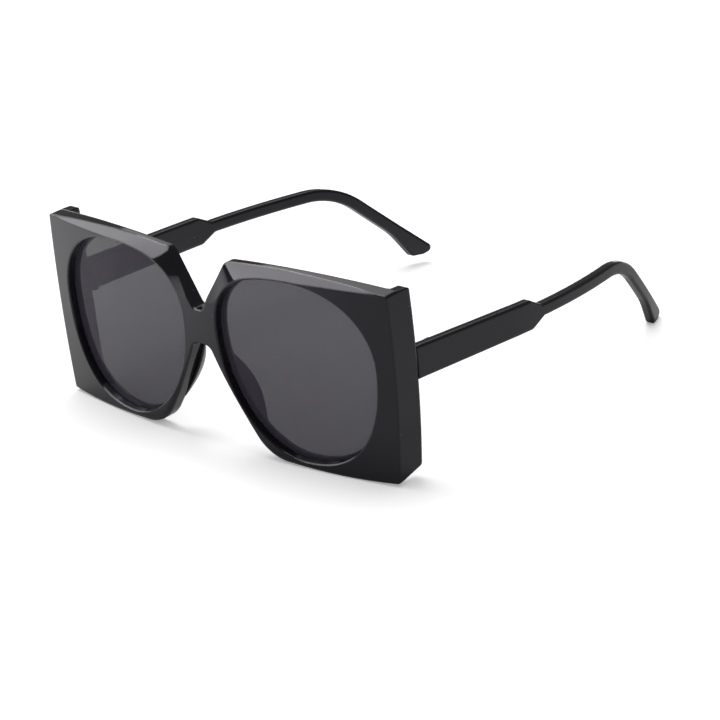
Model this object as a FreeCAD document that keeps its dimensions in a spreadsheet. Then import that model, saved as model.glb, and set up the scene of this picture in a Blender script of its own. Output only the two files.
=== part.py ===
"""Oversized sunglasses, standing open: a bent front with a bevelled brow, and two folding temples.

Everything is drawn in the front's own frame: X across, Y back from the face, Z up along the face.
The pieces are then leaned forward together and stood on the table, with the origin under their middle.
Left is the wearer's left, at positive X.
"""
import FreeCAD, Part
import math
import os
import Sketcher
from FreeCAD import Placement, Rotation, Vector

SIZES = {
    # front, seen from ahead
    "front_width": 140.8, "front_height": 62.3, "face_radius": 340.0, "face_tilt": 2.8,
    "front_thick": 5.0, "crown_x": 38.0, "brow_drop_outer": 2.2, "brow_drop_inner": 0.8,
    "brow_half_gap": 11.7, "side_bulge": 1.25, "side_taper": 1.4, "corner_rise": 0.9, "foot_rise": 1.0,
    "arch_height": 33.4, "arch_half": 3.4, "bridge_height": 11.2, "notch_half": 1.8, "rim_nose": 1.35,
    "nose_bulge": 1.1, "notch_round": 2.0, "brow_round": 3.0, "corner_round": 0.8, "foot_round": 15.0,
    "arch_round": 3.4, "edge_round": 0.45, "foot_edge_round": 1.5, "lip_round": 0.4,
    # lens openings: rims around them, heights and places of the widest points
    "lens_gap": 14.0, "rim_top": 2.75, "rim_bottom": 2.3, "rim_outer": 5.95,
    "lens_nasal_z": 39.1, "lens_temple_z": 35.25, "lens_top_x": 35.3, "lens_bottom_x": 37.6,
    "lens_recess": 2.5, "lens_thick": 1.5, "lip_inset": 0.35, "groove_depth": 0.8,
    "lens_edge_gap": 0.08, "lens_face_gap": 0.04,
    # bevel along the brow
    "bevel_depth": 2.6, "bevel_land": 0.4, "bevel_start": 3.0, "bevel_past": 1.1, "bevel_lead": 0.2,
    # side panels
    "panel_thick": 3.3, "panel_deep": 4.9, "panel_top_drop": 0.4, "panel_bottom_rise": 2.5,
    "panel_round": 1.0,
    # hinges
    "hinge_z": 35.9, "joint_gap": 0.45, "knuckle_radius": 1.3, "hinge_height": 7.6, "knuckle_mid": 2.6,
    "knuckle_gap": 0.05, "hinge_stand": 0.25, "web_clear": 0.15, "hinge_relief": 0.3,
    "pin_radius": 0.6, "pin_clear": 0.04, "right_lift": 1.4, "right_open": 2.0,
    "leaf_thick": 1.2, "leaf_sunk": 0.5, "front_leaf": 4.6, "temple_leaf": 10.0, "leaf_clear": 0.02,
    "rivet_radius": 0.5, "rivet_head": 0.8, "rivet_head_high": 0.35, "rivet_depth": 1.4, "rivet_clear": 0.02,
    "rivet_spread": 4.4, "rivet_pitch": 4.2,
    "screw_head": 1.15, "screw_head_high": 0.6, "slot_wide": 0.35, "slot_deep": 0.3,
    # temples
    "arm_thick": 3.5, "arm_angle": 5.05, "blade_high": 10.4, "blade_taper": 0.7, "blade_length": 52.6,
    "step_length": 6.0, "step_lag": 1.4, "step_round": 1.8, "rod_high": 4.1, "bend_start": 100.2,
    "bend_radius": 31.7, "bend_angle": 40.4, "sweep_start": 44.0, "sweep_radius": 245.0,
    "tip_high": 6.8, "tip_slant": 5.4, "tip_bulge": 0.9, "tip_round": 1.7, "flare_length": 17.0,
    "flare_round": 35.0, "arm_round": 0.9,
    "core_high": 1.6, "core_thick": 1.2, "core_start": 14.0, "core_short": 6.0, "core_clear": 0.05,
    # nose pads
    "pad_low": 8.0, "pad_high": 32.0, "pad_reach": 5.2, "pad_thick": 3.0, "pad_flare": 20.0,
    "pad_inset_low": 1.2, "pad_inset_high": -0.1, "pad_end": 0.1, "pad_edge": 0.3,
}

# How full each quarter of the lens outline is: tangents as shares of the quarter's own width or height.
FULLNESS = {"nasal_up": 0.93, "top_in": 0.39, "top_out": 0.66, "temple_up": 0.52,
            "temple_down": 0.54, "bottom_out": 0.76, "bottom_in": 0.51, "nasal_down": 0.56}

SIDES = {"left": 1, "right": -1}
BEYOND = 20.0
# Steps along a curve that is searched, rulings of the bevel beside the lens, and sections of a nose pad.
FINE_STEPS = 40
BEVEL_STEPS = 8
PAD_SECTIONS = 7
# The largest share of its wall that a rounding may take, and a small step along a curve.
FIT = 0.95
NUDGE = 0.001

doc = FreeCAD.newDocument("sunglasses")
sheet = doc.addObject("Spreadsheet::Sheet", "sizes")
for row, (alias, amount) in enumerate(SIZES.items(), start=1):
    sheet.set(f"A{row}", alias)
    sheet.set(f"B{row}", str(amount))
    sheet.setAlias(f"B{row}", alias)
doc.recompute()


class Size:
    """A length together with the formula that gives it, so that a feature follows the sheet."""

    def __init__(self, value, formula):
        self.value = value
        self.formula = formula

    @staticmethod
    def of(item):
        """Returns item as a Size; a plain number keeps its own value as its formula."""
        return item if isinstance(item, Size) else Size(float(item), repr(float(item)))

    def _join(self, sign, other, value):
        return Size(value, f"({self.formula} {sign} {other.formula})")

    def __add__(self, other):
        other = Size.of(other)
        return self._join("+", other, self.value + other.value)

    def __sub__(self, other):
        other = Size.of(other)
        return self._join("-", other, self.value - other.value)

    def __mul__(self, other):
        other = Size.of(other)
        return self._join("*", other, self.value * other.value)

    def __truediv__(self, other):
        other = Size.of(other)
        return self._join("/", other, self.value / other.value)

    def __neg__(self):
        return Size(0.0, "0") - self


def size(name):
    """Returns the named cell of the sheet as a Size."""
    return Size(float(sheet.get(name)), f"sizes.{name}")


def number(name):
    """Returns the named cell of the sheet as a plain number."""
    return float(sheet.get(name))


def bind(item, prop, amount):
    """Ties a property to the formula of a Size."""
    item.setExpression(prop, Size.of(amount).formula)


# Sketches and features

def new_body(label):
    return doc.addObject("PartDesign::Body", label)


def new_sketch(body, role, name, offset=None):
    """Makes a sketch on one of the body's own origin planes, moved by offset within that plane's frame."""
    sketch = body.newObject("Sketcher::SketchObject", name)
    plane = next(p for p in body.Origin.OriginFeatures if p.Role == role)
    sketch.AttachmentSupport = [(plane, "")]
    sketch.MapMode = "FlatFace"
    if offset is not None:
        sketch.AttachmentOffset = offset
    return sketch


def measure(sketch, kind, geometry, point, amount):
    """Measures a point of a sketch from its origin and ties that measure to the sheet."""
    amount = Size.of(amount)
    index = sketch.addConstraint(Sketcher.Constraint(kind, -1, 1, geometry, point, amount.value))
    sketch.setExpression(f"Constraints[{index}]", amount.formula)


def rectangle(sketch, x_range, y_range):
    """Draws an upright rectangle between two pairs of Sizes, given in any order."""
    left, right = sorted((Size.of(x) for x in x_range), key=lambda x: x.value)
    low, high = sorted((Size.of(y) for y in y_range), key=lambda y: y.value)
    pairs = ((left, low), (right, low), (right, high), (left, high))
    corners = [Vector(x.value, y.value, 0) for x, y in pairs]
    first = sketch.GeometryCount
    for here, there in zip(corners, corners[1:] + corners[:1]):
        sketch.addGeometry(Part.LineSegment(here, there), False)
    for side in range(4):
        following = first + (side + 1) % 4
        sketch.addConstraint(Sketcher.Constraint("Coincident", first + side, 2, following, 1))
        sketch.addConstraint(Sketcher.Constraint("Vertical" if side % 2 else "Horizontal", first + side))
    measure(sketch, "DistanceX", first, 1, left)
    measure(sketch, "DistanceY", first, 1, low)
    measure(sketch, "DistanceX", first + 2, 1, right)
    measure(sketch, "DistanceY", first + 2, 1, high)


def circle(sketch, x, y, radius):
    """Draws a circle whose centre and radius follow the sheet."""
    x, y, radius = Size.of(x), Size.of(y), Size.of(radius)
    ring = Part.Circle(Vector(x.value, y.value, 0), Vector(0, 0, 1), radius.value)
    index = sketch.addGeometry(ring, False)
    measure(sketch, "DistanceX", index, 3, x)
    measure(sketch, "DistanceY", index, 3, y)
    rule = sketch.addConstraint(Sketcher.Constraint("Radius", index, radius.value))
    sketch.setExpression(f"Constraints[{rule}]", radius.formula)


def profile(sketch, curves):
    """Draws a closed profile from curves that already meet end to end."""
    sketch.addGeometry(curves, False)


def add_feature(body, kind, sketch, amount=None, both_ways=False, reverse=False):
    """Adds a pad or pocket of a sketch; a pocket with no amount goes right through."""
    feature = body.newObject(f"PartDesign::{kind}", f"{body.Label}_{kind.lower()}")
    feature.Profile = sketch
    feature.Reversed = reverse
    if both_ways:
        feature.SideType = "Symmetric"
    if amount is None:
        feature.Type = "ThroughAll"
    else:
        bind(feature, "Length", amount)
    doc.recompute()
    return feature


def cylinder(label, radius, height, base, axis=Vector(0, 0, 1)):
    """Makes a cylinder whose radius and height follow the sheet."""
    item = doc.addObject("Part::Cylinder", label)
    bind(item, "Radius", radius)
    bind(item, "Height", height)
    item.Placement = Placement(base, Rotation(Vector(0, 0, 1), axis))
    return item


def boolean(kind, label, base, tool):
    item = doc.addObject(f"Part::{kind}", label)
    item.Base = base
    item.Tool = tool
    doc.recompute()
    return item


def compound(label, items):
    item = doc.addObject("Part::Compound", label)
    item.Links = items
    doc.recompute()
    return item


def rounded(label, base, edges):
    """Rounds some edges of a solid, each given as its index and its radius, or its radii at both ends."""
    item = doc.addObject("Part::Fillet", label)
    item.Base = base
    item.Edges = [(index, radii[0], radii[-1]) for index, *radii in edges]
    doc.recompute()
    return item


def line(start, end):
    return Part.LineSegment(Vector(*start, 0), Vector(*end, 0))


def arc(start, middle, end):
    return Part.Arc(Vector(*start, 0), Vector(*middle, 0), Vector(*end, 0))


def run(stops):
    """Returns the lines through (point, radius) stops, with an arc at each stop that has a radius."""
    curves = []
    here = stops[0][0]
    for (before, _), (corner, radius), (after, _) in zip(stops, stops[1:], stops[2:]):
        ways = [Vector(end[0] - corner[0], end[1] - corner[1], 0).normalize() for end in (before, after)]
        if radius:
            half = ways[0].getAngle(ways[1]) / 2
            inward = (ways[0] + ways[1]).normalize()
            tangents = [tuple(c + w / math.tan(half) * radius for c, w in zip(corner, way)) for way in ways]
            middle = tuple(c + i * radius * (1 / math.sin(half) - 1) for c, i in zip(corner, inward))
            curves += [line(here, tangents[0]), arc(tangents[0], middle, tangents[1])]
            here = tangents[1]
        else:
            curves.append(line(here, corner))
            here = corner
    return curves + [line(here, stops[-1][0])]


def circle_through(start, middle, end):
    return Part.Circle(Vector(*start, 0), Vector(*middle, 0), Vector(*end, 0))


# The front, seen from ahead

def face_y(x):
    """Returns how far the bent face lies behind its middle at x."""
    radius = number("face_radius")
    return radius - math.sqrt(radius * radius - x * x)


def lens_quarters(grow=0.0):
    """Returns the lens opening as four cubic quarters, grown outward by grow.

    Each quarter is a list of four (x, z) poles; they run nasal, top, temple, bottom and back.
    """
    half_width = number("front_width") / 2
    side_middle = half_width - number("side_taper") / 2 + number("side_bulge")
    nasal = (number("lens_gap") / 2 - grow, number("lens_nasal_z"))
    top = (number("lens_top_x"), number("front_height") - number("rim_top") + grow)
    temple = (side_middle - number("rim_outer") + grow, number("lens_temple_z"))
    bottom = (number("lens_bottom_x"), number("rim_bottom") - grow)
    full = FULLNESS

    def upright_first(a, b, first, last):
        return [a, (a[0], a[1] + first * (b[1] - a[1])), (b[0] - last * (b[0] - a[0]), b[1]), b]

    def level_first(a, b, first, last):
        return [a, (a[0] + first * (b[0] - a[0]), a[1]), (b[0], b[1] - last * (b[1] - a[1])), b]

    return [upright_first(nasal, top, full["nasal_up"], full["top_in"]),
            level_first(top, temple, full["top_out"], full["temple_up"]),
            upright_first(temple, bottom, full["temple_down"], full["bottom_out"]),
            level_first(bottom, nasal, full["bottom_in"], full["nasal_down"])]


def cubic_point(poles, share):
    """Returns the point at a share of the way along a cubic."""
    rest = 1 - share
    weights = (rest ** 3, 3 * share * rest ** 2, 3 * share ** 2 * rest, share ** 3)
    return tuple(sum(w * p[i] for w, p in zip(weights, poles)) for i in range(2))


def nose_line():
    """Returns the chord of the rim's nose side: its outward normal and its distance along that normal.

    The chord starts at the corner of the arch and leans out until its arc clears the lens by the rim.
    """
    arch = (number("arch_half"), number("arch_height"))
    nasal_quarter = lens_quarters()[3]
    edge = [cubic_point(nasal_quarter, step / FINE_STEPS) for step in range(FINE_STEPS + 1)]
    clear = number("rim_nose") - number("nose_bulge")
    shallow, steep = math.radians(20), math.radians(89)
    for _ in range(FINE_STEPS):
        angle = (shallow + steep) / 2
        normal = (-math.sin(angle), -math.cos(angle))
        reach = max(normal[0] * x + normal[1] * z for x, z in edge) + clear
        if normal[0] * arch[0] + normal[1] * arch[1] > reach:
            steep = angle
        else:
            shallow = angle
    return normal, reach


def nose_x(z):
    """Returns where the chord of the rim's nose side is at height z."""
    normal, reach = nose_line()
    return (reach - normal[1] * z) / normal[0]


def joint_y():
    """Returns how far back the side panels end and the temples start, as a Size."""
    radius, half = size("face_radius"), size("front_width") / 2
    bend = Size(face_y(half.value), f"({radius.formula} - sqrt({radius.formula}^2 - {half.formula}^2))")
    return bend + size("front_thick") + size("panel_deep")


def outline_corners():
    """Returns the named corners of the right-hand half of the front's outline, before rounding."""
    half_width = number("front_width") / 2
    height = number("front_height")
    arch_z = number("arch_height")
    notch_z = arch_z + number("bridge_height")
    foot = (nose_x(number("foot_rise")), number("foot_rise"))
    arch = (number("arch_half"), arch_z)
    nose = tuple((f + a) / 2 + number("nose_bulge") * n for f, a, n in zip(foot, arch, nose_line()[0]))
    return {"notch_middle": (0.0, notch_z), "notch": (number("notch_half"), notch_z),
            "brow": (number("brow_half_gap"), height - number("brow_drop_inner")),
            "crown": (number("crown_x"), height),
            "top": (half_width, height - number("brow_drop_outer")),
            "side": (half_width - number("side_taper") / 2 + number("side_bulge"), height / 2),
            "bottom": (half_width - number("side_taper"), number("corner_rise")),
            "foot": foot, "nose": nose, "arch": arch, "arch_middle": (0.0, arch_z)}


def half_outline(sign):
    """Returns the curves of one half of the outline, from the notch round to the nose arch."""
    at = {name: (sign * x, z) for name, (x, z) in outline_corners().items()}
    low = (sign * (abs(at["bottom"][0]) + abs(at["foot"][0])) / 2, 0.0)
    return [line(at["notch_middle"], at["notch"]), line(at["notch"], at["brow"]),
            arc(at["brow"], at["crown"], at["top"]), arc(at["top"], at["side"], at["bottom"]),
            arc(at["bottom"], low, at["foot"]), arc(at["foot"], at["nose"], at["arch"]),
            line(at["arch"], at["arch_middle"])]


def corner_edges(solid, corner):
    """Returns the names of the edges along Y that stand at a corner of the outline, on both halves."""
    names = []
    for index, edge in enumerate(solid.Edges, start=1):
        ends = [v.Point for v in edge.Vertexes]
        if len(ends) == 2 and abs(abs(ends[0].x) - corner[0]) < 1e-4 and abs(ends[0].z - corner[1]) < 1e-4:
            if (ends[0] - ends[1]).cross(Vector(0, 1, 0)).Length < 1e-4:
                names.append(f"Edge{index}")
    return names


def front_block():
    """Pads the outline back to the joint with the temples and rounds its corners."""
    body = new_body("front_block")
    joint = Placement(Vector(0, 0, -joint_y().value), Rotation())
    sketch = new_sketch(body, "XZ_Plane", "front_outline", joint)
    bind(sketch, "AttachmentOffset.Base.z", -joint_y())
    profile(sketch, half_outline(1) + half_outline(-1))
    feature = add_feature(body, "Pad", sketch, joint_y() + BEYOND)
    corners = outline_corners()
    slope = math.atan2(corners["arch"][1] - corners["nose"][1], corners["nose"][0] - corners["arch"][0])
    limits = {"arch": FIT * corners["arch"][0] / math.tan(slope / 2)}
    for corner, rounding in (("brow", "brow_round"), ("notch", "notch_round"), ("arch", "arch_round"),
                             ("foot", "foot_round"), ("top", "corner_round"), ("bottom", "corner_round")):
        fillet = body.newObject("PartDesign::Fillet", f"front_{corner}_round")
        fillet.Base = (feature, corner_edges(feature.Shape, corners[corner]))
        radius = size(rounding)
        if corner in limits and limits[corner] < radius.value:
            radius = Size.of(limits[corner])
        bind(fillet, "Radius", radius)
        doc.recompute()
        feature = fillet
    return body


def bend_cylinder(label, depth):
    """Makes the solid behind the bent surface that lies depth behind the face."""
    item = doc.addObject("Part::Cylinder", label)
    bind(item, "Radius", size("face_radius") - depth)
    bind(item, "Height", size("front_height") + 2 * BEYOND)
    bind(item, "Placement.Base.y", size("face_radius"))
    bind(item, "Placement.Base.z", Size.of(-BEYOND))
    return item


def panel_inner_x(z):
    """Returns where the flat inner face of the left side panel is at height z."""
    corners = outline_corners()
    (top_x, top_z), (bottom_x, bottom_z) = corners["top"], corners["bottom"]
    return bottom_x + (top_x - bottom_x) * (z - bottom_z) / (top_z - bottom_z) - number("panel_thick")


def between_panels():
    """Makes the space between the side panels, behind the bent face."""
    body = new_body("between_panels")
    sketch = new_sketch(body, "XZ_Plane", "between_panels_outline")
    low, high = -BEYOND, number("front_height") + BEYOND
    points = [(-panel_inner_x(low), low), (panel_inner_x(low), low),
              (panel_inner_x(high), high), (-panel_inner_x(high), high)]
    profile(sketch, [line(a, b) for a, b in zip(points, points[1:] + points[:1])])
    add_feature(body, "Pad", sketch, joint_y() + BEYOND, reverse=True)
    return boolean("Common", "rear_space", body, bend_cylinder("rear_bend", size("front_thick")))


def panel_trim():
    """Makes the wedges that taper the side panels towards the temples, top and bottom.

    The top slants from the back of the rims on; the underside slants all the way from the face.
    """
    corners = outline_corners()
    joint = joint_y().value
    rear = joint + BEYOND
    face = face_y(corners["bottom"][0])
    back = face + number("front_thick")
    wedges = []
    for label, change, level, first, away in (("top", -number("panel_top_drop"), back, back, BEYOND),
                                              ("bottom", number("panel_bottom_rise"), face, 0.0, -BEYOND)):
        z = corners[label][1]
        slope = change / (joint - level)
        points = [(first, z + slope * (first - level)), (rear, z + slope * (rear - level)),
                  (rear, z + away), (first, z + away)]
        body = new_body(f"panel_{label}_trim")
        sketch = new_sketch(body, "YZ_Plane", f"panel_{label}_taper")
        profile(sketch, [line(a, b) for a, b in zip(points, points[1:] + points[:1])])
        add_feature(body, "Pad", sketch, size("front_width") + BEYOND, both_ways=True)
        wedges.append(body)
    return wedges


def lens_plane(sign, depth):
    """Returns the placement, on the XZ plane, of a sketch square to the lens and depth behind the face."""
    middle = lens_middle_x()
    turn = Rotation(Vector(0, 1, 0), sign * math.degrees(math.asin(middle / number("face_radius"))))
    inward = turn.multVec(Vector(0, 0, -depth))
    return Placement(Vector(sign * middle, 0, -face_y(middle)) + inward, turn)


def lens_middle_x():
    quarters = lens_quarters()
    return (quarters[0][0][0] + quarters[1][3][0]) / 2


def lens_sketch(body, name, sign, depth, grow):
    """Draws the lens outline, grown by grow, on the plane square to the lens at a depth."""
    sketch = new_sketch(body, "XZ_Plane", name, lens_plane(sign, depth))
    middle = lens_middle_x()
    lean = math.cos(math.asin(middle / number("face_radius")))
    curves = []
    for poles in lens_quarters(grow):
        bezier = Part.BezierCurve()
        bezier.setPoles([Vector(sign * (x - middle) / lean, z, 0) for x, z in poles])
        curves.append(bezier.toBSpline())
    profile(sketch, curves)
    return sketch


def lens_opening(side, sign):
    """Makes the tapered opening through a rim, which narrows from the lip to the back."""
    body = new_body(f"lens_opening_{side}")
    slope = number("lip_inset") / number("lens_recess")
    ahead, behind = -2 * number("front_thick"), 2 * number("front_thick")
    first = lens_sketch(body, f"lens_lip_{side}", sign, ahead, -slope * ahead)
    last = lens_sketch(body, f"lens_back_{side}", sign, behind, -slope * behind)
    loft = body.newObject("PartDesign::AdditiveLoft", f"lens_cut_{side}")
    loft.Profile = first
    loft.Sections = [last]
    loft.Ruled = True
    doc.recompute()
    return body


def lens_sheet(label, sign, depth, thick, grow):
    """Cuts a lens-shaped piece from a bent sheet that lies depth behind the face."""
    body = new_body(f"{label}_blank")
    sketch = lens_sketch(body, f"{label}_outline", sign, -BEYOND, grow)
    add_feature(body, "Pad", sketch, Size.of(3 * BEYOND), reverse=True)
    sheet_item = boolean("Cut", f"{label}_sheet", bend_cylinder(f"{label}_face", depth),
                         bend_cylinder(f"{label}_back", depth + thick))
    return boolean("Common", label, sheet_item, body)


def reach_to(point, direction, start, end):
    """Returns how far a ray from point runs before it meets the line through start and end."""
    along = (end[0] - start[0], end[1] - start[1])
    gap = (start[0] - point[0], start[1] - point[1])
    return (gap[0] * along[1] - gap[1] * along[0]) / (direction[0] * along[1] - direction[1] * along[0])


def bevel_rulings():
    """Returns the rulings of the brow bevel: point on the face, direction, reach to the outline, depth there.

    The bevel starts at nothing beside the notch, follows the lens to the crown, deepest from the brow's
    corner on, and runs out to nothing again at the outer corner.
    """
    at = outline_corners()
    notch, brow = at["notch"], at["brow"]
    deepest, land, start = number("bevel_depth"), number("bevel_land"), number("bevel_start")
    slope = [(b - n) / math.dist(notch, brow) for n, b in zip(notch, brow)]
    outward = (-slope[1], slope[0])
    low = tuple(n + start * way for n, way in zip(notch, slope))
    rulings = [(tuple(p - land * way for p, way in zip(low, outward)), outward, land, 0.0)]
    up_nose = lens_quarters(land)[0]
    shares = [step / FINE_STEPS for step in range(FINE_STEPS + 1)]
    first = next(share for share in shares if cubic_point(up_nose, share)[1] > low[1] + start)
    for step in range(BEVEL_STEPS + 1):
        share = first + (1 - first) * step / BEVEL_STEPS
        point, ahead = cubic_point(up_nose, share - NUDGE), cubic_point(up_nose, share)
        run = math.dist(point, ahead)
        outward = ((point[1] - ahead[1]) / run, (ahead[0] - point[0]) / run)
        rises = [reach_to(ahead, outward, brow, end) for end in (notch, at["crown"])]
        reach = min(r for r in rises if r > 0)
        risen = (ahead[1] + reach * outward[1] - low[1]) / (brow[1] - low[1])
        rulings.append((ahead, outward, reach, deepest * min(risen, 1.0)))
    last = rulings[-1][0]
    for share in (1 / 3, 2 / 3, 1.0):
        point = tuple(a + share * (b - a) for a, b in zip(last, at["top"]))
        rise = reach_to(point, (0.0, 1.0), at["crown"], at["top"])
        rulings.append((point, (0.0, 1.0), max(rise, land), deepest * (1 - share)))
    return rulings


def brow_bevel(side, sign):
    """Makes the wedge ahead of the brow bevel: a ruled face from beside the lens lip out past the outline.

    Both rails go on a little past where the bevel meets the face and the outline, and its two ends lie
    just ahead of the face, so that it runs out on the face there.
    """
    past, lead, inward = number("bevel_past"), number("bevel_lead"), number("bevel_land") / 2
    inner_rail, outer_rail = [], []
    for (x, z), (dx, dz), reach, depth in bevel_rulings():
        ahead = 0.0 if depth else lead
        for rail, run in ((inner_rail, -inward), (outer_rail, reach + past)):
            rail_x = x + run * dx
            rail.append(Vector(sign * rail_x, face_y(rail_x) + depth * run / reach - ahead, z + run * dz))
    rails = []
    for points in (inner_rail, outer_rail):
        curve = Part.BSplineCurve()
        curve.interpolate(points)
        rails.append(curve.toShape())
    item = doc.addObject("Part::Feature", f"brow_bevel_{side}")
    item.Shape = Part.makeRuledSurface(*rails).extrude(Vector(0, -BEYOND, 0))
    return item


def side_x(z):
    """Returns where the outside of the left side panel is at height z."""
    corners = outline_corners()
    ring = circle_through(corners["top"], corners["side"], corners["bottom"])
    return ring.Center.x + math.sqrt(ring.Radius ** 2 - (z - ring.Center.y) ** 2)


# Hinges, drawn around the middle of the hinge line

def hinge_point(sign):
    """Returns the middle of a hinge line, which stands just inside the panel at its rear end."""
    inner = panel_inner_x(number("hinge_z"))
    return Vector(sign * (inner - number("hinge_stand") - number("knuckle_radius")),
                  joint_y().value, number("hinge_z"))


class Leaf:
    """The sizes of a hinge leaf, measured from the hinge line: x out to the panel, y along the leaf."""

    def __init__(self, on_temple):
        self.on_temple = on_temple
        self.web_end = size("knuckle_radius") + size("hinge_relief")
        self.wall = size("knuckle_radius") + size("hinge_stand")
        self.length = size("front_leaf")
        self.way = -1
        if on_temple:
            middle = number("hinge_z")
            self.wall = self.wall + (side_x(middle) - number("arm_thick") - panel_inner_x(middle))
            self.length = size("temple_leaf")
            self.way = 1
        self.back = self.wall + size("leaf_sunk")
        self.face = self.back - size("leaf_thick")

    def rivet_places(self):
        """Returns where the rivets are, as pairs of sizes along Y and Z."""
        middle = (self.length + self.web_end) / 2 * self.way
        if self.on_temple:
            return [(middle + size("rivet_pitch") / 2 * end, Size.of(0.0)) for end in (-1, 1)]
        return [(middle, size("rivet_spread") / 2 * end) for end in (-1, 1)]


def hinge_leaf(label, sign, leaf):
    """Makes a leaf: its plate, the web to its knuckles, the knuckles, the bore and the rivet holes."""
    body = new_body(label)
    height = size("hinge_height")
    knuckle = size("knuckle_mid") if leaf.on_temple else height
    plate = new_sketch(body, "XY_Plane", f"{label}_plate")
    rectangle(plate, (leaf.face * sign, leaf.back * sign), (leaf.web_end * leaf.way, leaf.length * leaf.way))
    add_feature(body, "Pad", plate, height, both_ways=True)
    web = new_sketch(body, "XY_Plane", f"{label}_web")
    rectangle(web, (size("knuckle_radius") / 2 * sign, (leaf.wall - size("web_clear")) * sign),
              (size("hinge_relief") * leaf.way, (leaf.web_end + size("hinge_relief")) * leaf.way))
    add_feature(body, "Pad", web, knuckle, both_ways=True)
    barrel = new_sketch(body, "XY_Plane", f"{label}_knuckle")
    circle(barrel, 0.0, 0.0, size("knuckle_radius"))
    add_feature(body, "Pad", barrel, knuckle, both_ways=True)
    if not leaf.on_temple:
        room = new_sketch(body, "YZ_Plane", f"{label}_room")
        half = size("knuckle_mid") / 2 + size("knuckle_gap")
        rectangle(room, (-leaf.web_end, leaf.web_end), (-half, half))
        add_feature(body, "Pocket", room, both_ways=True)
    bore = new_sketch(body, "XY_Plane", f"{label}_bore")
    circle(bore, 0.0, 0.0, size("pin_radius") + size("pin_clear"))
    add_feature(body, "Pocket", bore, both_ways=True)
    holes = new_sketch(body, "YZ_Plane", f"{label}_holes")
    for y, z in leaf.rivet_places():
        circle(holes, y, z, size("rivet_radius") + size("rivet_clear"))
    add_feature(body, "Pocket", holes, both_ways=True)
    body.Placement = Placement(hinge_point(sign), Rotation())
    return body


def leaf_seat(label, sign, leaf):
    """Makes what is cut from the plastic for a leaf: its shallow pocket and its blind rivet holes."""
    clear = size("leaf_clear")
    body = new_body(f"{label}_pocket")
    sketch = new_sketch(body, "XY_Plane", f"{label}_outline")
    rectangle(sketch, (leaf.face * sign, leaf.back * sign),
              ((leaf.web_end - clear) * leaf.way, (leaf.length + clear) * leaf.way))
    add_feature(body, "Pad", sketch, size("hinge_height") + clear + clear, both_ways=True)
    body.Placement = Placement(hinge_point(sign), Rotation())
    cuts = [body]
    for index, (y, z) in enumerate(leaf.rivet_places()):
        base = hinge_point(sign) + Vector(sign * leaf.face.value, y.value, z.value)
        cuts.append(cylinder(f"{label}_hole_{index}", size("rivet_radius") + size("rivet_clear"),
                             size("leaf_thick") + size("rivet_depth") + clear, base, Vector(sign, 0, 0)))
    return cuts


def rivets(label, sign, leaf):
    """Makes the two rivets of a leaf, each a shank with a cone-edged head on the leaf's face."""
    pieces = []
    for index, (y, z) in enumerate(leaf.rivet_places()):
        base = hinge_point(sign) + Vector(sign * leaf.face.value, y.value, z.value)
        shank = cylinder(f"{label}_shank_{index}", size("rivet_radius"),
                         size("leaf_thick") + size("rivet_depth"), base, Vector(sign, 0, 0))
        head = doc.addObject("Part::Cone", f"{label}_head_{index}")
        bind(head, "Radius1", size("rivet_head"))
        bind(head, "Radius2", size("rivet_head") - size("rivet_head_high"))
        bind(head, "Height", size("rivet_head_high"))
        head.Placement = Placement(base, Rotation(Vector(0, 0, 1), Vector(-sign, 0, 0)))
        pieces.append(boolean("Fuse", f"{label}_{index}", shank, head))
    return compound(label, pieces)


def hinge_screw(label, sign):
    """Makes the screw that is the hinge pin: a shank, and a slotted head on the top knuckle."""
    body = new_body(label)
    shank = new_sketch(body, "XY_Plane", f"{label}_shank")
    circle(shank, 0.0, 0.0, size("pin_radius"))
    add_feature(body, "Pad", shank, size("hinge_height"), both_ways=True)
    half = size("hinge_height") / 2
    head = new_sketch(body, "XY_Plane", f"{label}_head", Placement(Vector(0, 0, half.value), Rotation()))
    bind(head, "AttachmentOffset.Base.z", half)
    circle(head, 0.0, 0.0, size("screw_head"))
    add_feature(body, "Pad", head, size("screw_head_high"))
    top = half + size("screw_head_high")
    slot = new_sketch(body, "XY_Plane", f"{label}_slot", Placement(Vector(0, 0, top.value), Rotation()))
    bind(slot, "AttachmentOffset.Base.z", top)
    wide = size("slot_wide") / 2
    rectangle(slot, (-size("screw_head"), size("screw_head")), (-wide, wide))
    add_feature(body, "Pocket", slot, size("slot_deep"))
    body.Placement = Placement(hinge_point(sign), Rotation())
    return body


# The temples, in the side view as (y, z) and in the plan as (x, y)

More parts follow.
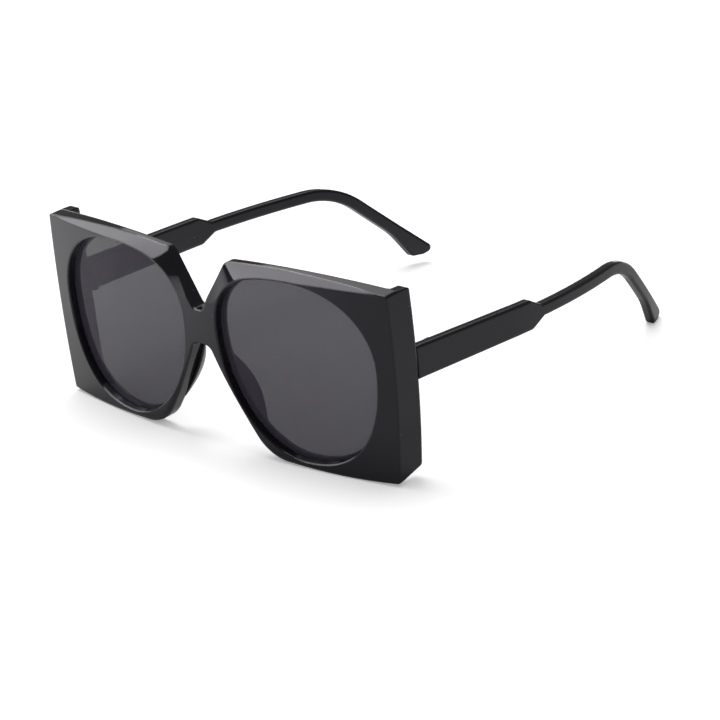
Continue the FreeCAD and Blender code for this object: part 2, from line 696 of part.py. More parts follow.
class ArmLine:
    """The line that a temple follows in the side view: straight, an ear bend, then straight to its tip."""

    def __init__(self, stand):
        first = -math.radians(number("arm_angle"))
        last = first - math.radians(number("bend_angle"))
        self.first, self.middle, self.last = first, (first + last) / 2, last
        self.joint = (joint_y().value, number("hinge_z"))
        self.radius = number("bend_radius")
        start = self.before(number("bend_start"), 0.0)
        self.centre = (start[0] + self.radius * math.sin(first), start[1] - self.radius * math.cos(first))
        self.rod = number("rod_high") / 2
        self.tail = 2 * number("flare_length")
        self.tail += self._spare(stand)

    @staticmethod
    def _step(point, angle, along, up):
        return (point[0] + along * math.cos(angle) - up * math.sin(angle),
                point[1] + along * math.sin(angle) + up * math.cos(angle))

    def before(self, along, up):
        """Returns the point at a length along the straight part and a height above its line."""
        return self._step(self.joint, self.first, along, up)

    def bend(self, up):
        """Returns the middle of the ear bend, at a height above the line."""
        return self._step(self.centre, self.middle, 0.0, self.radius + up)

    def after(self, along, up):
        """Returns the point at a length past the bend and a height above the line."""
        return self._step(self.centre, self.last, along, self.radius + up)

    def _spare(self, stand):
        """Returns how much longer the part past the bend has to be for the tip just to touch the table."""
        outline = Part.Wire([curve.toShape() for curve in tip_side(self)])
        upright = Placement(Vector(), Rotation(Vector(1, 1, 1), 120))
        stood = outline.transformed(stand.multiply(upright).toMatrix())
        fall = stand.Rotation.multVec(Vector(0, math.cos(self.last), math.sin(self.last))).z
        return stood.optimalBoundingBox(False, False).ZMin / -fall


def tip_side(line_of_arm):
    """Returns the flared tip in the side view, from the top of the bend's end round to its underside."""
    at = line_of_arm
    rod, tail, soft = at.rod, at.tail, number("tip_round")
    upper = at.after(tail, rod)
    lower = at.after(tail - number("tip_slant"), rod - number("tip_high"))
    flare = at.after(tail - number("flare_length"), -rod)
    across = math.dist(upper, lower)
    swell = number("tip_bulge") / across
    end = ((upper[0] + lower[0]) / 2 + swell * (upper[1] - lower[1]),
           (upper[1] + lower[1]) / 2 - swell * (upper[0] - lower[0]))
    return run([(at.after(0.0, rod), 0.0), (upper, soft), (end, 2 * soft), (lower, soft),
                (flare, number("flare_round")), (at.after(0.0, -rod), 0.0)])


def arm_side(line_of_arm):
    """Returns the temple's outline in the side view: tapered blade, step, rod, bend and flared tip."""
    at = line_of_arm
    rod, butt_half = at.rod, number("blade_high") / 2
    blade_half = butt_half - number("blade_taper") / 2
    step_start, step_end = number("blade_length"), number("blade_length") + number("step_length")
    lag, soft, bend = number("step_lag"), number("step_round"), number("bend_start")
    butt_y = joint_y().value + number("joint_gap")

    def butt(up):
        along = (butt_y - at.joint[0] + up * math.sin(at.first)) / math.cos(at.first)
        return at.before(along, up)

    return (run([(butt(-butt_half), 0.0), (butt(butt_half), 0.0), (at.before(step_start, blade_half), soft),
                 (at.before(step_end, rod), soft), (at.before(bend, rod), 0.0)])
            + [arc(at.before(bend, rod), at.bend(rod), at.after(0.0, rod))]
            + tip_side(at)
            + [arc(at.after(0.0, -rod), at.bend(-rod), at.before(bend, -rod))]
            + run([(at.before(bend, -rod), 0.0), (at.before(step_end + lag, -rod), soft),
                   (at.before(step_start + lag, -blade_half), soft), (butt(-butt_half), 0.0)]))


def core_side(line_of_arm, clear):
    """Returns the outline of the core wire in the side view, grown by a clearance."""
    at = line_of_arm
    half = number("core_high") / 2 + clear
    start, bend = number("core_start") - clear, number("bend_start")
    end = at.tail - number("core_short") + clear
    return [line(at.before(start, -half), at.before(start, half)),
            line(at.before(start, half), at.before(bend, half)),
            arc(at.before(bend, half), at.bend(half), at.after(0.0, half)),
            line(at.after(0.0, half), at.after(end, half)), line(at.after(end, half), at.after(end, -half)),
            line(at.after(end, -half), at.after(0.0, -half)),
            arc(at.after(0.0, -half), at.bend(-half), at.before(bend, -half)),
            line(at.before(bend, -half), at.before(start, -half))]


def arm_plan(sign, line_of_arm, outer_inset, thick):
    """Returns a strip of the temple in the plan, which curves in towards the head behind the blade."""
    start = joint_y().value
    turn_y = start + number("sweep_start")
    radius = number("sweep_radius")
    outer_x = side_x(number("hinge_z"))
    reach = line_of_arm.after(line_of_arm.tail, number("tip_high"))[0] - turn_y
    full_turn = math.asin(reach / radius)

    def point(inset, turn):
        return (sign * (outer_x - radius + (radius - inset) * math.cos(turn)),
                turn_y + (radius - inset) * math.sin(turn))

    near, far = outer_inset, outer_inset + thick
    butt_near, butt_far = (sign * (outer_x - near), start), (sign * (outer_x - far), start)
    return [line(butt_far, butt_near), line(butt_near, point(near, 0.0)),
            arc(point(near, 0.0), point(near, full_turn / 2), point(near, full_turn)),
            line(point(near, full_turn), point(far, full_turn)),
            arc(point(far, full_turn), point(far, full_turn / 2), point(far, 0.0)),
            line(point(far, 0.0), butt_far)]


def arm_strip(label, side_curves, plan_curves):
    """Makes the solid that has both outlines: one in the side view and one in the plan."""
    pads = []
    for view, plane, curves, depth in (("side", "YZ_Plane", side_curves, size("front_width") * 2),
                                       ("plan", "XY_Plane", plan_curves, size("front_height") * 4)):
        body = new_body(f"{label}_{view}")
        sketch = new_sketch(body, plane, f"{label}_{view}_outline")
        profile(sketch, curves)
        add_feature(body, "Pad", sketch, depth, both_ways=True)
        pads.append(body)
    return boolean("Common", label, *pads)


def long_edges(solid, butt_y):
    """Returns the indices of the edges that run along a temple, without those of its butt end."""
    found = []
    for index, edge in enumerate(solid.Edges, start=1):
        ends = [v.Point for v in edge.Vertexes]
        across = (ends[0] - ends[-1]).cross(Vector(1, 0, 0)).Length < 1e-3
        if not across and any(abs(p.y - butt_y) > 1e-3 for p in ends):
            found.append(index)
    return found


def build_temple(side, sign, line_of_arm):
    """Builds a temple with its leaf seat and the channel for its core wire; returns it and the wire."""
    inset = (number("arm_thick") - number("core_thick")) / 2
    clear = number("core_clear")
    strip = arm_strip(f"temple_strip_{side}", arm_side(line_of_arm),
                      arm_plan(sign, line_of_arm, 0.0, number("arm_thick")))
    butt_y = joint_y().value + number("joint_gap")
    edges = [(index, number("arm_round")) for index in long_edges(strip.Shape, butt_y)]
    soft = rounded(f"temple_soft_{side}", strip, edges)
    channel = arm_strip(f"temple_channel_{side}", core_side(line_of_arm, clear),
                        arm_plan(sign, line_of_arm, inset - clear, number("core_thick") + 2 * clear))
    core = arm_strip(f"temple_core_{side}", core_side(line_of_arm, 0.0),
                     arm_plan(sign, line_of_arm, inset, number("core_thick")))
    cuts = leaf_seat(f"temple_seat_{side}", sign, Leaf(on_temple=True)) + [channel]
    return boolean("Cut", f"temple_{side}", soft, compound(f"temple_cuts_{side}", cuts)), core


# The nose pads, behind the rims

def nose_edge_x(z):
    """Returns where the nose side of the left rim is at height z."""
    corners = outline_corners()
    ring = circle_through(corners["foot"], corners["nose"], corners["arch"])
    return ring.Center.x - math.sqrt(ring.Radius ** 2 - (z - ring.Center.y) ** 2)


def nose_pad(label, sign):
    """Lofts a pad through level ellipses: deepest half way up, and leaning outward more towards the top."""
    body = new_body(f"{label}_loft")
    low, high = number("pad_low"), number("pad_high")
    inset_low, inset_high = number("pad_inset_low"), number("pad_inset_high")
    sketches = []
    for step in range(PAD_SECTIONS):
        share = step / (PAD_SECTIONS - 1)
        swell = number("pad_end") + (1 - number("pad_end")) * math.sin(math.pi * share)
        z = low + share * (high - low)
        x = nose_edge_x(z) + inset_high + (inset_low - inset_high) * (1 - share) ** 2
        lean = math.radians(number("pad_flare") * (1 + share) / 2)
        centre = Vector(sign * x, face_y(x) + number("front_thick"), 0)
        along = Vector(sign * math.sin(lean), math.cos(lean), 0)
        across = Vector(-along.y, along.x, 0)
        half_thick = number("pad_thick") / 2 * (number("pad_edge") + (1 - number("pad_edge")) * swell)
        level = Placement(Vector(0, 0, z), Rotation())
        sketch = new_sketch(body, "XY_Plane", f"{label}_section_{step}", level)
        ends = sorted([(number("pad_reach") * swell, along), (half_thick, across)], key=lambda e: -e[0])
        profile(sketch, [Part.Ellipse(*(centre + way * half for half, way in ends), centre)])
        sketches.append(sketch)
    loft = body.newObject("PartDesign::AdditiveLoft", f"{label}_form")
    loft.Profile = sketches[0]
    loft.Sections = sketches[1:]
    doc.recompute()
    return boolean("Common", label, body, bend_cylinder(f"{label}_rim_back", size("front_thick")))


# The front

def bent_face(solid):
    """Returns the face of a solid that lies on the bend of the front."""
    radius = number("face_radius")
    return next(face for face in solid.Faces
                if isinstance(face.Surface, Part.Cylinder) and abs(face.Surface.Radius - radius) < 1e-6)


def wire_edges(solid, wires):
    """Returns the indices, within a solid, of the edges of some wires."""
    wanted = [edge for wire in wires for edge in wire.Edges]
    return [index for index, edge in enumerate(solid.Edges, start=1)
            if any(edge.isSame(other) for other in wanted)]


def panel_corners(solid):
    """Returns the indices of the edges across the top and bottom of the panels' rear ends."""
    found = []
    for index, edge in enumerate(solid.Edges, start=1):
        ends = [v.Point for v in edge.Vertexes]
        rear = all(abs(p.y - joint_y().value) < 1e-4 for p in ends)
        if rear and abs(ends[0].x - ends[-1].x) > number("panel_thick") / 2:
            found.append(index)
    return found


def outline_radii(edge):
    """Returns how round an edge of the face's outline is at its two ends: softer around the rims' feet."""
    foot = outline_corners()["foot"]
    radii = []
    for vertex in (edge.firstVertex(), edge.lastVertex()):
        near_foot = math.dist((abs(vertex.Point.x), vertex.Point.z), foot) < number("foot_round")
        radii.append(number("foot_edge_round") if near_foot else number("edge_round"))
    return radii


def front_shell():
    """Builds the front as moulded: block, bend, soft outline, openings, lens grooves, bevel and soft lips."""
    bent = boolean("Common", "front_bent", front_block(), bend_cylinder("face_bend", Size.of(0.0)))
    outline = wire_edges(bent.Shape, [bent_face(bent.Shape).OuterWire])
    soft = rounded("front_soft", bent,
                   [(index, *outline_radii(bent.Shape.Edges[index - 1])) for index in outline])
    cuts = [between_panels()] + panel_trim()
    groove = number("groove_depth") - number("lip_inset") + number("lens_edge_gap")
    for side, sign in SIDES.items():
        cuts.append(lens_opening(side, sign))
        cuts.append(lens_sheet(f"lens_groove_{side}", sign, size("lens_recess") - size("lens_face_gap"),
                               size("lens_thick") + size("lens_face_gap") * 2, groove))
        cuts.append(brow_bevel(side, sign))
    cut = boolean("Cut", "front_cut", soft, compound("front_cuts", cuts))
    face = bent_face(cut.Shape)
    lips = wire_edges(cut.Shape, [wire for wire in face.Wires if not wire.isSame(face.OuterWire)])
    return rounded("front_shell", cut, [(index, number("lip_round")) for index in lips]
                   + [(index, number("panel_round")) for index in panel_corners(cut.Shape)])


def standing(shape):
    """Returns the placement that leans the front forward and stands its lowest point on the table."""
    lean = Rotation(Vector(1, 0, 0), number("face_tilt"))
    leaned = shape.transformed(Placement(Vector(), lean).toMatrix())
    return Placement(Vector(0, 0, -leaned.optimalBoundingBox(False, False).ZMin), lean)


def hinge_play():
    """Returns the placement that lifts and opens the right temple within the play of its hinge."""
    lift = Rotation(Vector(1, 0, 0), number("right_lift"))
    opened = Rotation(Vector(0, 0, 1), number("right_open"))
    return Placement(Vector(), opened.multiply(lift), hinge_point(SIDES["right"]))


def build():
    """Builds every piece and returns them by name, standing on the table with the origin under the middle."""
    shell = front_shell()
    stand = standing(shell.Shape)
    arm = ArmLine(stand)
    nodes = {}
    seats = []
    for side, sign in SIDES.items():
        front_leaf, temple_leaf = Leaf(on_temple=False), Leaf(on_temple=True)
        nodes[f"lens_{side}"] = lens_sheet(f"lens_{side}", sign, size("lens_recess"), size("lens_thick"),
                                           number("groove_depth") - number("lip_inset"))
        nodes[f"nose_pad_{side}"] = nose_pad(f"nose_pad_{side}", sign)
        nodes[f"front_hinge_{side}"] = hinge_leaf(f"front_hinge_{side}", sign, front_leaf)
        nodes[f"front_hinge_rivets_{side}"] = rivets(f"front_hinge_rivets_{side}", sign, front_leaf)
        nodes[f"hinge_screw_{side}"] = hinge_screw(f"hinge_screw_{side}", sign)
        nodes[f"temple_{side}"], nodes[f"temple_core_{side}"] = build_temple(side, sign, arm)
        nodes[f"temple_hinge_{side}"] = hinge_leaf(f"temple_hinge_{side}", sign, temple_leaf)
        nodes[f"temple_hinge_rivets_{side}"] = rivets(f"temple_hinge_rivets_{side}", sign, temple_leaf)
        seats += leaf_seat(f"front_seat_{side}", sign, front_leaf)
    nodes["front_frame"] = boolean("Cut", "front_frame", shell, compound("front_seats", seats))
    for label in ("temple_right", "temple_core_right", "temple_hinge_right", "temple_hinge_rivets_right"):
        nodes[label].Placement = hinge_play().multiply(nodes[label].Placement)
    for item in nodes.values():
        item.Placement = stand.multiply(item.Placement)
    boxes = [nodes[name].Shape.optimalBoundingBox(False, False)
             for name in ("front_frame", "temple_left", "temple_right")]
    middle = (min(box.YMin for box in boxes) + max(box.YMax for box in boxes)) / 2
    for item in nodes.values():
        item.Placement = Placement(Vector(0, -middle, 0), Rotation()).multiply(item.Placement)
    return nodes


nodes = build()
faults = [f"{item.Label}: {item.State}" for item in doc.Objects
          if any(word in item.State for word in ("Invalid", "Error"))]
faults += [f"{label}: bad shape" for label, item in nodes.items()
           if item.Shape.isNull() or not item.Shape.isValid() or item.Label != label]
if faults:
    raise RuntimeError("; ".join(faults))
os.makedirs("parts", exist_ok=True)
for label, item in nodes.items():
    item.Shape.exportStep(f"parts/{label}.step")
    print(label, round(item.Shape.Volume, 1), item.Shape.optimalBoundingBox(False, False))
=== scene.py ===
"""Looks of the oversized sunglasses: gloss black plastic, tinted lenses and small dark hinges.

Lengths are metres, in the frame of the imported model: +X is the wearer's left, -Y is forward and
+Z is up. A noise's scale is its waves in a metre, and a span is where a step starts and ends.
"""

import logging
import math
from dataclasses import dataclass, field
from enum import Enum
from typing import Any, Union

import bpy
import numpy as np
from mathutils import Matrix, Vector


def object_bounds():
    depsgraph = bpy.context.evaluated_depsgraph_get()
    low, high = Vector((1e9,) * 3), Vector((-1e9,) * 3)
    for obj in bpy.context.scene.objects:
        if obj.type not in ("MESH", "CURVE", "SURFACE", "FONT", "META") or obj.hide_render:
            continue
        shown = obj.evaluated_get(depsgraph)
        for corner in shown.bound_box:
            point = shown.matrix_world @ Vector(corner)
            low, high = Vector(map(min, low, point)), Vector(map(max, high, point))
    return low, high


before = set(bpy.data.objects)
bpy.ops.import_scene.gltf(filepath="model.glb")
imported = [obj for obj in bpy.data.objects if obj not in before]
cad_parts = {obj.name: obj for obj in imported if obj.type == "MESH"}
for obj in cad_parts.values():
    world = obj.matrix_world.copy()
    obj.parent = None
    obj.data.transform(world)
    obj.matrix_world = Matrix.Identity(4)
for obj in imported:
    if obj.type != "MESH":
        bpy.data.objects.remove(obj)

LOG = logging.getLogger("sunglasses")
CAD_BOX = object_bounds()

Span = tuple[float, float]
Triple = tuple[float, float, float]
Colour = tuple[float, float, float, float]
Number = Union[float, int, "Socket"]


class Side(Enum):
    """The wearer's two sides."""

    LEFT = "left"
    RIGHT = "right"


class Slot(Enum):
    """The record's material slots."""

    PLASTIC = "frame_plastic"
    LENS = "tinted_lens"
    STEEL = "hinge_steel"


class Socket:
    """One output socket of a node tree, on which arithmetic adds Math nodes."""

    def __init__(self, tree: "Tree", link: bpy.types.NodeSocket) -> None:
        """Keeps the tree that the socket belongs to, and the socket."""
        self.tree = tree
        self.link = link

    def _math(self, operation: str, *values: Number) -> "Socket":
        """Adds one Math node.

        Args:
            operation: the Math node's operation.
            values: its inputs in order, as numbers or sockets.

        Returns:
            The node's value.
        """
        return self.tree.node("ShaderNodeMath", {"operation": operation}, dict(enumerate(values)))

    def __add__(self, other: Number) -> "Socket":
        """This value plus another."""
        return self._math("ADD", self, other)

    def __radd__(self, other: Number) -> "Socket":
        """A number plus this value."""
        return self._math("ADD", other, self)

    def __mul__(self, other: Number) -> "Socket":
        """This value times another."""
        return self._math("MULTIPLY", self, other)

    def __rmul__(self, other: Number) -> "Socket":
        """A number times this value."""
        return self._math("MULTIPLY", other, self)

    def at_least(self, other: Number) -> "Socket":
        """The larger of this value and another."""
        return self._math("MAXIMUM", self, other)


class Tree:
    """A material's or world's node tree, emptied, with one method that adds any node."""

    # Rays that look for the neighbouring faces when an edge is rounded.
    EDGE_RAYS = 6
    # The part of a speck's radius that is solid, and the softness of the draw for a speck.
    SPECK_CORE = 0.4
    DRAW_STEP = 0.01

    def __init__(self, owner: Union[bpy.types.Material, bpy.types.World]) -> None:
        """Takes over the owner's node tree and empties it."""
        owner.use_nodes = True
        self.nodes = owner.node_tree.nodes
        self.links = owner.node_tree.links
        self.nodes.clear()

    def node(
        self,
        kind: str,
        settings: dict[str, Any] | None = None,
        sockets: dict[Union[str, int], Any] | None = None,
        output: Union[str, int] = 0,
    ) -> Socket | None:
        """Adds a node.

        Args:
            kind: the node's type.
            settings: its properties, set first.
            sockets: values or sockets for its inputs, by name or number.
            output: which output to hand back.

        Returns:
            The chosen output, or None for a node that has none.
        """
        made = self.nodes.new(kind)
        for name, value in (settings or {}).items():
            setattr(made, name, value)
        for name, value in (sockets or {}).items():
            if isinstance(value, Socket):
                self.links.new(value.link, made.inputs[name])
            else:
                made.inputs[name].default_value = value
        return Socket(self, made.outputs[output]) if made.outputs else None

    def place(self) -> Socket:
        """The surface point in the object's own metres."""
        return self.node("ShaderNodeTexCoord", output="Object")

    def stretched(self, scale: Triple) -> Socket:
        """The surface point with each axis scaled, for grain that runs one way."""
        return self.node("ShaderNodeMapping", sockets={"Vector": self.place(), "Scale": scale})

    def noise(self, vector: Socket, scale: float, detail: float = 2.0) -> Socket:
        """Smooth noise about 0.5, with so many waves in a metre."""
        return self.node(
            "ShaderNodeTexNoise", sockets={"Vector": vector, "Scale": scale, "Detail": detail}
        )

    def specks(self, vector: Socket, scale: float, reach: float, share: float) -> Socket:
        """Scattered small round specks.

        Args:
            vector: the point.
            scale: cells in a metre, of which some hold a speck.
            reach: a speck's radius, as a share of a cell.
            share: how many of the cells hold one.

        Returns:
            1 at the middle of a speck and 0 away from it.
        """
        cells = {"Vector": vector, "Scale": scale}
        away = self.node("ShaderNodeTexVoronoi", sockets=cells, output="Distance")
        lot = self.node("ShaderNodeTexVoronoi", sockets=cells, output="Color")
        drawn = self.node("ShaderNodeSeparateColor", sockets={"Color": lot})
        near = self.ramp(away, reach, reach * self.SPECK_CORE)
        return near * self.ramp(drawn, share, share - self.DRAW_STEP)

    def ramp(self, value: Socket, low: float, high: float) -> Socket:
        """A smooth step from 0 at low to 1 at high."""
        return self.node(
            "ShaderNodeMapRange",
            {"interpolation_type": "SMOOTHSTEP"},
            {"Value": value, "From Min": low, "From Max": high},
        )

    def blend(self, share: Number, first: Any, second: Any) -> Socket:
        """A colour between two, by share."""
        return self.node(
            "ShaderNodeMix", {"data_type": "RGBA"}, {0: share, 6: first, 7: second}, output=2
        )

    def bump(self, height: Socket, strength: float, depth: float, rounding: float) -> Socket:
        """The normal of a surface raised by a height of so many metres, with rounded edges."""
        soft = self.node("ShaderNodeBevel", {"samples": self.EDGE_RAYS}, {"Radius": rounding})
        return self.node(
            "ShaderNodeBump",
            sockets={"Strength": strength, "Distance": depth, "Height": height, "Normal": soft},
        )

    def end(self, surface: Socket, kind: str = "ShaderNodeOutputMaterial") -> None:
        """Links the finished surface to the tree's output."""
        self.node(kind, sockets={"Surface": surface})


def grey(value: float, violet: float = 0.0) -> Colour:
    """A linear grey as a colour, with green lowered by a share and blue raised by thrice that."""
    return (value, value * (1 - violet), value * (1 + 3 * violet), 1.0)


WHITE = grey(1.0)


@dataclass(frozen=True)
class GlossPlastic:
    """Black plastic polished by tumbling: a deep gloss with faint flow, haze, rubbing and dust."""

    name: str = "gloss_black_plastic"
    black: float = 0.0032
    flow_black: float = 0.005
    violet: float = 0.07
    sheen_tint: Colour = (0.96, 0.925, 1.0, 1.0)
    dust: float = 0.3
    gloss: float = 0.05
    haze: float = 0.035
    dust_roughness: float = 0.5
    index: float = 1.535
    flow_scale: float = 45.0
    flow_detail: float = 3.0
    flow_stretch: Triple = (1.0, 0.35, 1.0)
    flow_span: Span = (0.35, 0.7)
    haze_scale: float = 90.0
    haze_detail: float = 4.0
    haze_span: Span = (0.4, 0.8)
    rub_scale: float = 600.0
    rub_stretch: Triple = (0.12, 1.0, 1.0)
    dust_scale: float = 230.0
    dust_reach: float = 0.035
    dust_share: float = 0.55
    peel_scale: float = 500.0
    peel_strength: float = 0.35
    peel_depth: float = 0.000003
    soft_edge: float = 0.0009

    def material(self) -> bpy.types.Material:
        """Makes the material.

        Returns:
            The plastic, its colour mottled by the melt's flow and its gloss by haze and rubbing.
        """
        made = bpy.data.materials.new(self.name)
        tree = Tree(made)
        place = tree.place()
        streaks = tree.noise(tree.stretched(self.flow_stretch), self.flow_scale, self.flow_detail)
        flow = tree.ramp(streaks, *self.flow_span)
        haze = tree.ramp(tree.noise(place, self.haze_scale, self.haze_detail), *self.haze_span)
        rubbing = tree.noise(tree.stretched(self.rub_stretch), self.rub_scale)
        specks = tree.specks(place, self.dust_scale, self.dust_reach, self.dust_share)
        black = tree.blend(
            flow, grey(self.black, self.violet), grey(self.flow_black, self.violet)
        )
        polished = self.gloss + self.haze * (haze * rubbing)
        peel = tree.noise(place, self.peel_scale)
        surface = tree.node(
            "ShaderNodeBsdfPrincipled",
            sockets={
                "Base Color": tree.blend(specks, black, grey(self.dust)),
                "Roughness": polished + self.dust_roughness * specks,
                "IOR": self.index,
                "Specular Tint": self.sheen_tint,
                "Normal": tree.bump(peel, self.peel_strength, self.peel_depth, self.soft_edge),
            },
        )
        tree.end(surface)
        return made


@dataclass(frozen=True)
class TintedLens:
    """Grey-violet sheet lens: each face lets part of the light through, and less lower down, as
    painted shade for the shadowed floor seen through it.
    """

    name: str = "grey_tinted_lens"
    tint: Colour = (0.0495, 0.043, 0.0635, 1.0)
    mottled_tint: Colour = (0.0555, 0.049, 0.0705, 1.0)
    top_cover: float = 0.745
    # The cover at the foot is raised above the top's as painted shade.
    shaded_foot_cover: float = 0.78
    foot: float = 0.008
    top: float = 0.058
    gloss: float = 0.045
    haze: float = 0.05
    index: float = 1.22
    smear_scale: float = 240.0
    smear_detail: float = 4.0
    smear_span: Span = (0.5, 0.8)
    mottle_scale: float = 60.0

    def material(self) -> bpy.types.Material:
        """Makes the material.

        Returns:
            The lens, whose cover grows from the top to the foot as painted shade.
        """
        made = bpy.data.materials.new(self.name)
        made.surface_render_method = "BLENDED"
        tree = Tree(made)
        place = tree.place()
        height = tree.node("ShaderNodeSeparateXYZ", sockets={"Vector": place}, output="Z")
        # Painted shade: the lens covers more towards its foot, standing in for the shadowed floor
        # seen through it.
        painted_shade_fade = tree.ramp(height, self.foot, self.top)
        smear = tree.ramp(tree.noise(place, self.smear_scale, self.smear_detail), *self.smear_span)
        mottle = tree.noise(place, self.mottle_scale)
        surface = tree.node(
            "ShaderNodeBsdfPrincipled",
            sockets={
                "Base Color": tree.blend(mottle, self.tint, self.mottled_tint),
                "Roughness": self.gloss + self.haze * smear,
                "IOR": self.index,
                "Alpha": self.shaded_foot_cover + (self.top_cover - self.shaded_foot_cover) * painted_shade_fade,
            },
        )
        tree.end(surface)
        return made


@dataclass(frozen=True)
class HingeSteel:
    """Black-nickel steel with a fine drawn grain and duller patches."""

    name: str = "black_nickel_steel"
    bright: float = 0.16
    dull: float = 0.09
    violet: float = 0.01
    gloss: float = 0.22
    wear: float = 0.2
    grain_scale: float = 5200.0
    grain_stretch: Triple = (1.0, 1.0, 0.06)
    grain_strength: float = 0.4
    grain_depth: float = 0.000006
    patch_scale: float = 420.0
    patch_detail: float = 3.0
    patch_span: Span = (0.4, 0.7)
    soft_edge: float = 0.0001

    def material(self) -> bpy.types.Material:
        """Makes the material.

        Returns:
            The steel, grained along the hinge's height.
        """
        made = bpy.data.materials.new(self.name)
        tree = Tree(made)
        grain = tree.noise(tree.stretched(self.grain_stretch), self.grain_scale)
        blotches = tree.noise(tree.place(), self.patch_scale, self.patch_detail)
        patches = tree.ramp(blotches, *self.patch_span)
        bright, dull = grey(self.bright, self.violet), grey(self.dull, self.violet)
        surface = tree.node(
            "ShaderNodeBsdfPrincipled",
            sockets={
                "Base Color": tree.blend(patches, bright, dull),
                "Roughness": self.gloss + self.wear * (patches * grain),
                "Metallic": 1.0,
                "Normal": tree.bump(grain, self.grain_strength, self.grain_depth, self.soft_edge),
            },
        )
        tree.end(surface)
        return made


def dress(nodes: list[str], material: bpy.types.Material) -> None:
    """Gives carried CAD nodes a finish.

    Args:
        nodes: the nodes' names.
        material: the finish.
    """
    for name in nodes:
        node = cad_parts[name]
        for place in node.material_slots:
            place.material = material
        LOG.info("%s: %s", name, material.name)


@dataclass
class Front:
    """The front moulding with its two lenses and two bonded nose pads."""

    plastic: bpy.types.Material
    lens: bpy.types.Material

    def dress(self) -> None:
        """Puts the plastic on the moulding and pads and the tint on the lenses."""
        sides = [side.value for side in Side]
        dress(["front_frame"], self.plastic)
        dress([f"nose_pad_{side}" for side in sides], self.plastic)
        dress([f"lens_{side}" for side in sides], self.lens)


@dataclass
class Temple:
    """One temple: its plastic arm and the core wire inside."""

    side: Side
    plastic: bpy.types.Material
    steel: bpy.types.Material

    def dress(self) -> None:
        """Puts the plastic on the arm and the steel on its core."""
        dress([f"temple_{self.side.value}"], self.plastic)
        dress([f"temple_core_{self.side.value}"], self.steel)


@dataclass
class Hinge:
    """One hinge: two leaves, their rivets and the screw."""

    side: Side
    steel: bpy.types.Material
    nodes: tuple[str, ...] = (
        "front_hinge", "front_hinge_rivets", "hinge_screw", "temple_hinge", "temple_hinge_rivets",
    )

    def dress(self) -> None:
        """Puts the steel on every piece of the hinge."""
        dress([f"{node}_{self.side.value}" for node in self.nodes], self.steel)


@dataclass
class SoftBox:
    """One square studio lamp that faces the object; one that is only mirrored throws no shadow."""

    name: str
    direction: Triple
    distance: float
    width: float
    watts: float
    mirrored_only: bool = False

    def build(self, aim: Vector) -> bpy.types.Object:
        """Adds the lamp.

        Args:
            aim: the point that it faces.

        Returns:
            The lamp's object.
        """
        lamp = bpy.data.lights.new(self.name, "AREA")
        lamp.shape = "SQUARE"
        lamp.size = self.width
        lamp.energy = self.watts
        made = bpy.data.objects.new(self.name, lamp)
        away = Vector(self.direction).normalized()
        made.location = aim + away * self.distance
        made.rotation_mode = "QUATERNION"
        made.rotation_quaternion = away.to_track_quat("Z", "Y")
        made.visible_diffuse = not self.mirrored_only
        bpy.context.scene.collection.objects.link(made)
        return made


@dataclass
class Camera:
    """The photograph's viewpoint, as solved from the object's own corners; angles in degrees."""

    azimuth: float = 43.042
    elevation: float = 21.259
    roll: float = 3.645
    eye: Triple = (0.56438, -0.617239, 0.326806)
    focal_pixels: float = 2770.0
    image_pixels: float = 720.0
    sensor: float = 36.0
    nearest: float = 0.01
    farthest: float = 50.0

    def build(self) -> bpy.types.Object:
        """Adds the camera and makes it the scene's.

        Returns:
            The camera's object.
        """
        around, up, turn = (math.radians(v) for v in (self.azimuth, self.elevation, self.roll))
        level = math.cos(up)
        back = Vector((math.sin(around) * level, -math.cos(around) * level, math.sin(up)))
        right = Vector((math.cos(around), math.sin(around), 0.0))
        above = back.cross(right)
        across = right * math.cos(turn) - above * math.sin(turn)
        upright = right * math.sin(turn) + above * math.cos(turn)
        lens = bpy.data.cameras.new("photo_camera")
        lens.sensor_width = self.sensor
        lens.lens = self.focal_pixels / self.image_pixels * self.sensor
        lens.clip_start = self.nearest
        lens.clip_end = self.farthest
        made = bpy.data.objects.new("photo_camera", lens)
        turned = Matrix((across, upright, back)).transposed()
        made.matrix_world = Matrix.Translation(Vector(self.eye)) @ turned.to_4x4()
        bpy.context.scene.collection.objects.link(made)
        bpy.context.scene.camera = made
        return made


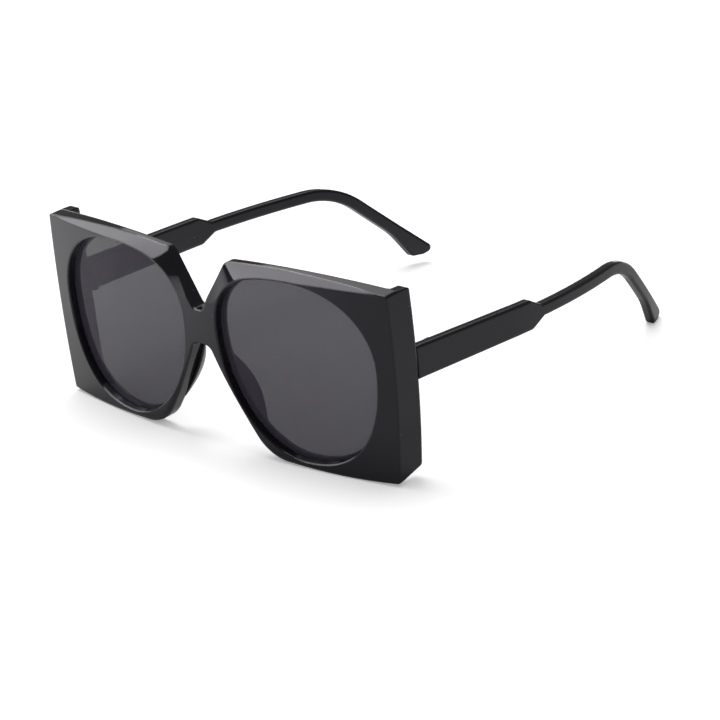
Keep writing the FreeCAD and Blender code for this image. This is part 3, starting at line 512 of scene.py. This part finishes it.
@dataclass
class Studio:
    """White floor, soft world light and lamps."""

    floor_reach: float = 6.0
    floor_cells: int = 24
    floor_white: float = 0.85
    shown_share: float = 0.2
    shown_white: float = 1.31
    # Painted light that gloss sees on the paper: its bright and dim greys, and where it falls from
    # one to the other.
    painted_gloss_bright: float = 1.3
    painted_gloss_dim: float = 0.52
    painted_bright_x: float = -0.17
    painted_dim_x: float = 0.03
    world_light: float = 0.5
    gloss_sky: float = 0.16
    boxes: list[SoftBox] = field(
        default_factory=lambda: [
            SoftBox("overhead_box", (-0.28, 0.08, 1.0), 2.2, 1.5, 27.0),
            SoftBox("front_left_box", (-0.70, -0.47, 0.53), 1.0, 0.95, 11.0, mirrored_only=True),
            SoftBox("high_left_box", (-0.60, 0.22, 0.77), 1.0, 0.34, 2.2, mirrored_only=True),
            SoftBox("side_left_box", (-0.90, 0.34, 0.26), 1.0, 0.32, 0.5, mirrored_only=True),
            SoftBox("rear_left_box", (-0.54, 0.58, 0.62), 1.0, 0.5, 0.7, mirrored_only=True),
        ]
    )

    def build_floor(self) -> bpy.types.Object:
        """Makes the floor: a square grid at height nought, evenly spaced both ways.

        Returns:
            The floor's object.
        """
        reach = np.linspace(-self.floor_reach, self.floor_reach, self.floor_cells + 1)
        across, along = np.meshgrid(reach, reach, indexing="ij")
        points = np.stack([across, along, np.zeros_like(across)], axis=-1).reshape(-1, 3)
        count = self.floor_cells + 1
        cells = np.arange(self.floor_cells)
        first = (cells[:, None] * count + cells).ravel()
        faces = np.stack([first, first + count, first + count + 1, first + 1], axis=-1)
        mesh = bpy.data.meshes.new("floor")
        mesh.from_pydata(points.tolist(), [], faces.tolist())
        made = bpy.data.objects.new("floor", mesh)
        made.data.materials.append(self.floor_paper())
        bpy.context.scene.collection.objects.link(made)
        return made

    def looked_at(self, tree: Tree) -> Socket:
        """1 where the camera looks straight at the stage, or at it through the lenses."""
        straight = tree.node("ShaderNodeLightPath", output="Is Camera Ray")
        return straight.at_least(tree.node("ShaderNodeLightPath", output="Is Transmission Ray"))

    def floor_paper(self) -> bpy.types.Material:
        """White paper that keeps the shadow, with a painted light on it that only gloss shows:
        brighter to the left and dimmer to the right.

        Returns:
            The floor's material.
        """
        made = bpy.data.materials.new("white_paper")
        tree = Tree(made)
        # Painted light: in reflections the paper's colour falls from bright on the left to dim on
        # the right.
        across = tree.node("ShaderNodeSeparateXYZ", sockets={"Vector": tree.place()}, output="X")
        painted_light_fall = tree.ramp(across, self.painted_bright_x, self.painted_dim_x)
        painted_reflected_paper = tree.blend(painted_light_fall, grey(self.painted_gloss_bright), grey(self.painted_gloss_dim))
        glossy = tree.node("ShaderNodeLightPath", output="Is Glossy Ray")
        looked_at = self.looked_at(tree)
        bounced = tree.blend(looked_at, grey(self.floor_white), grey(self.shown_white))
        paper = tree.node(
            "ShaderNodeBsdfDiffuse", sockets={"Color": tree.blend(glossy, bounced, painted_reflected_paper)}
        )
        glow = tree.node(
            "ShaderNodeEmission", sockets={"Color": WHITE, "Strength": self.shown_white}
        )
        share = looked_at * self.shown_share
        tree.end(tree.node("ShaderNodeMixShader", sockets={0: share, 1: paper, 2: glow}))
        return made

    def build_world(self) -> None:
        """Lights the scene evenly, with white behind the floor and a dimmer room in gloss."""
        world = bpy.data.worlds.new("soft_room")
        tree = Tree(world)
        glossy = tree.node("ShaderNodeLightPath", output="Is Glossy Ray")
        room = self.world_light + (self.gloss_sky - self.world_light) * glossy
        strength = room.at_least(self.looked_at(tree))
        sky = tree.node("ShaderNodeBackground", sockets={"Color": WHITE, "Strength": strength})
        tree.end(sky, "ShaderNodeOutputWorld")
        bpy.context.scene.world = world

    def build(self) -> None:
        """Builds the floor, the world and the lamps, and sets the plain view transform."""
        self.build_floor()
        self.build_world()
        low, high = CAD_BOX
        for box in self.boxes:
            box.build((low + high) / 2)
        bpy.context.scene.view_settings.view_transform = "Standard"


def main() -> None:
    """Dresses each sub-assembly in order, and builds the studio and the camera."""
    logging.basicConfig(level=logging.INFO)
    plastic = GlossPlastic().material()
    lens = TintedLens().material()
    steel = HingeSteel().material()
    Front(plastic, lens).dress()
    for side in Side:
        Temple(side, plastic, steel).dress()
        Hinge(side, steel).dress()
    Studio().build()
    Camera().build()


if __name__ == "__main__":
    main()
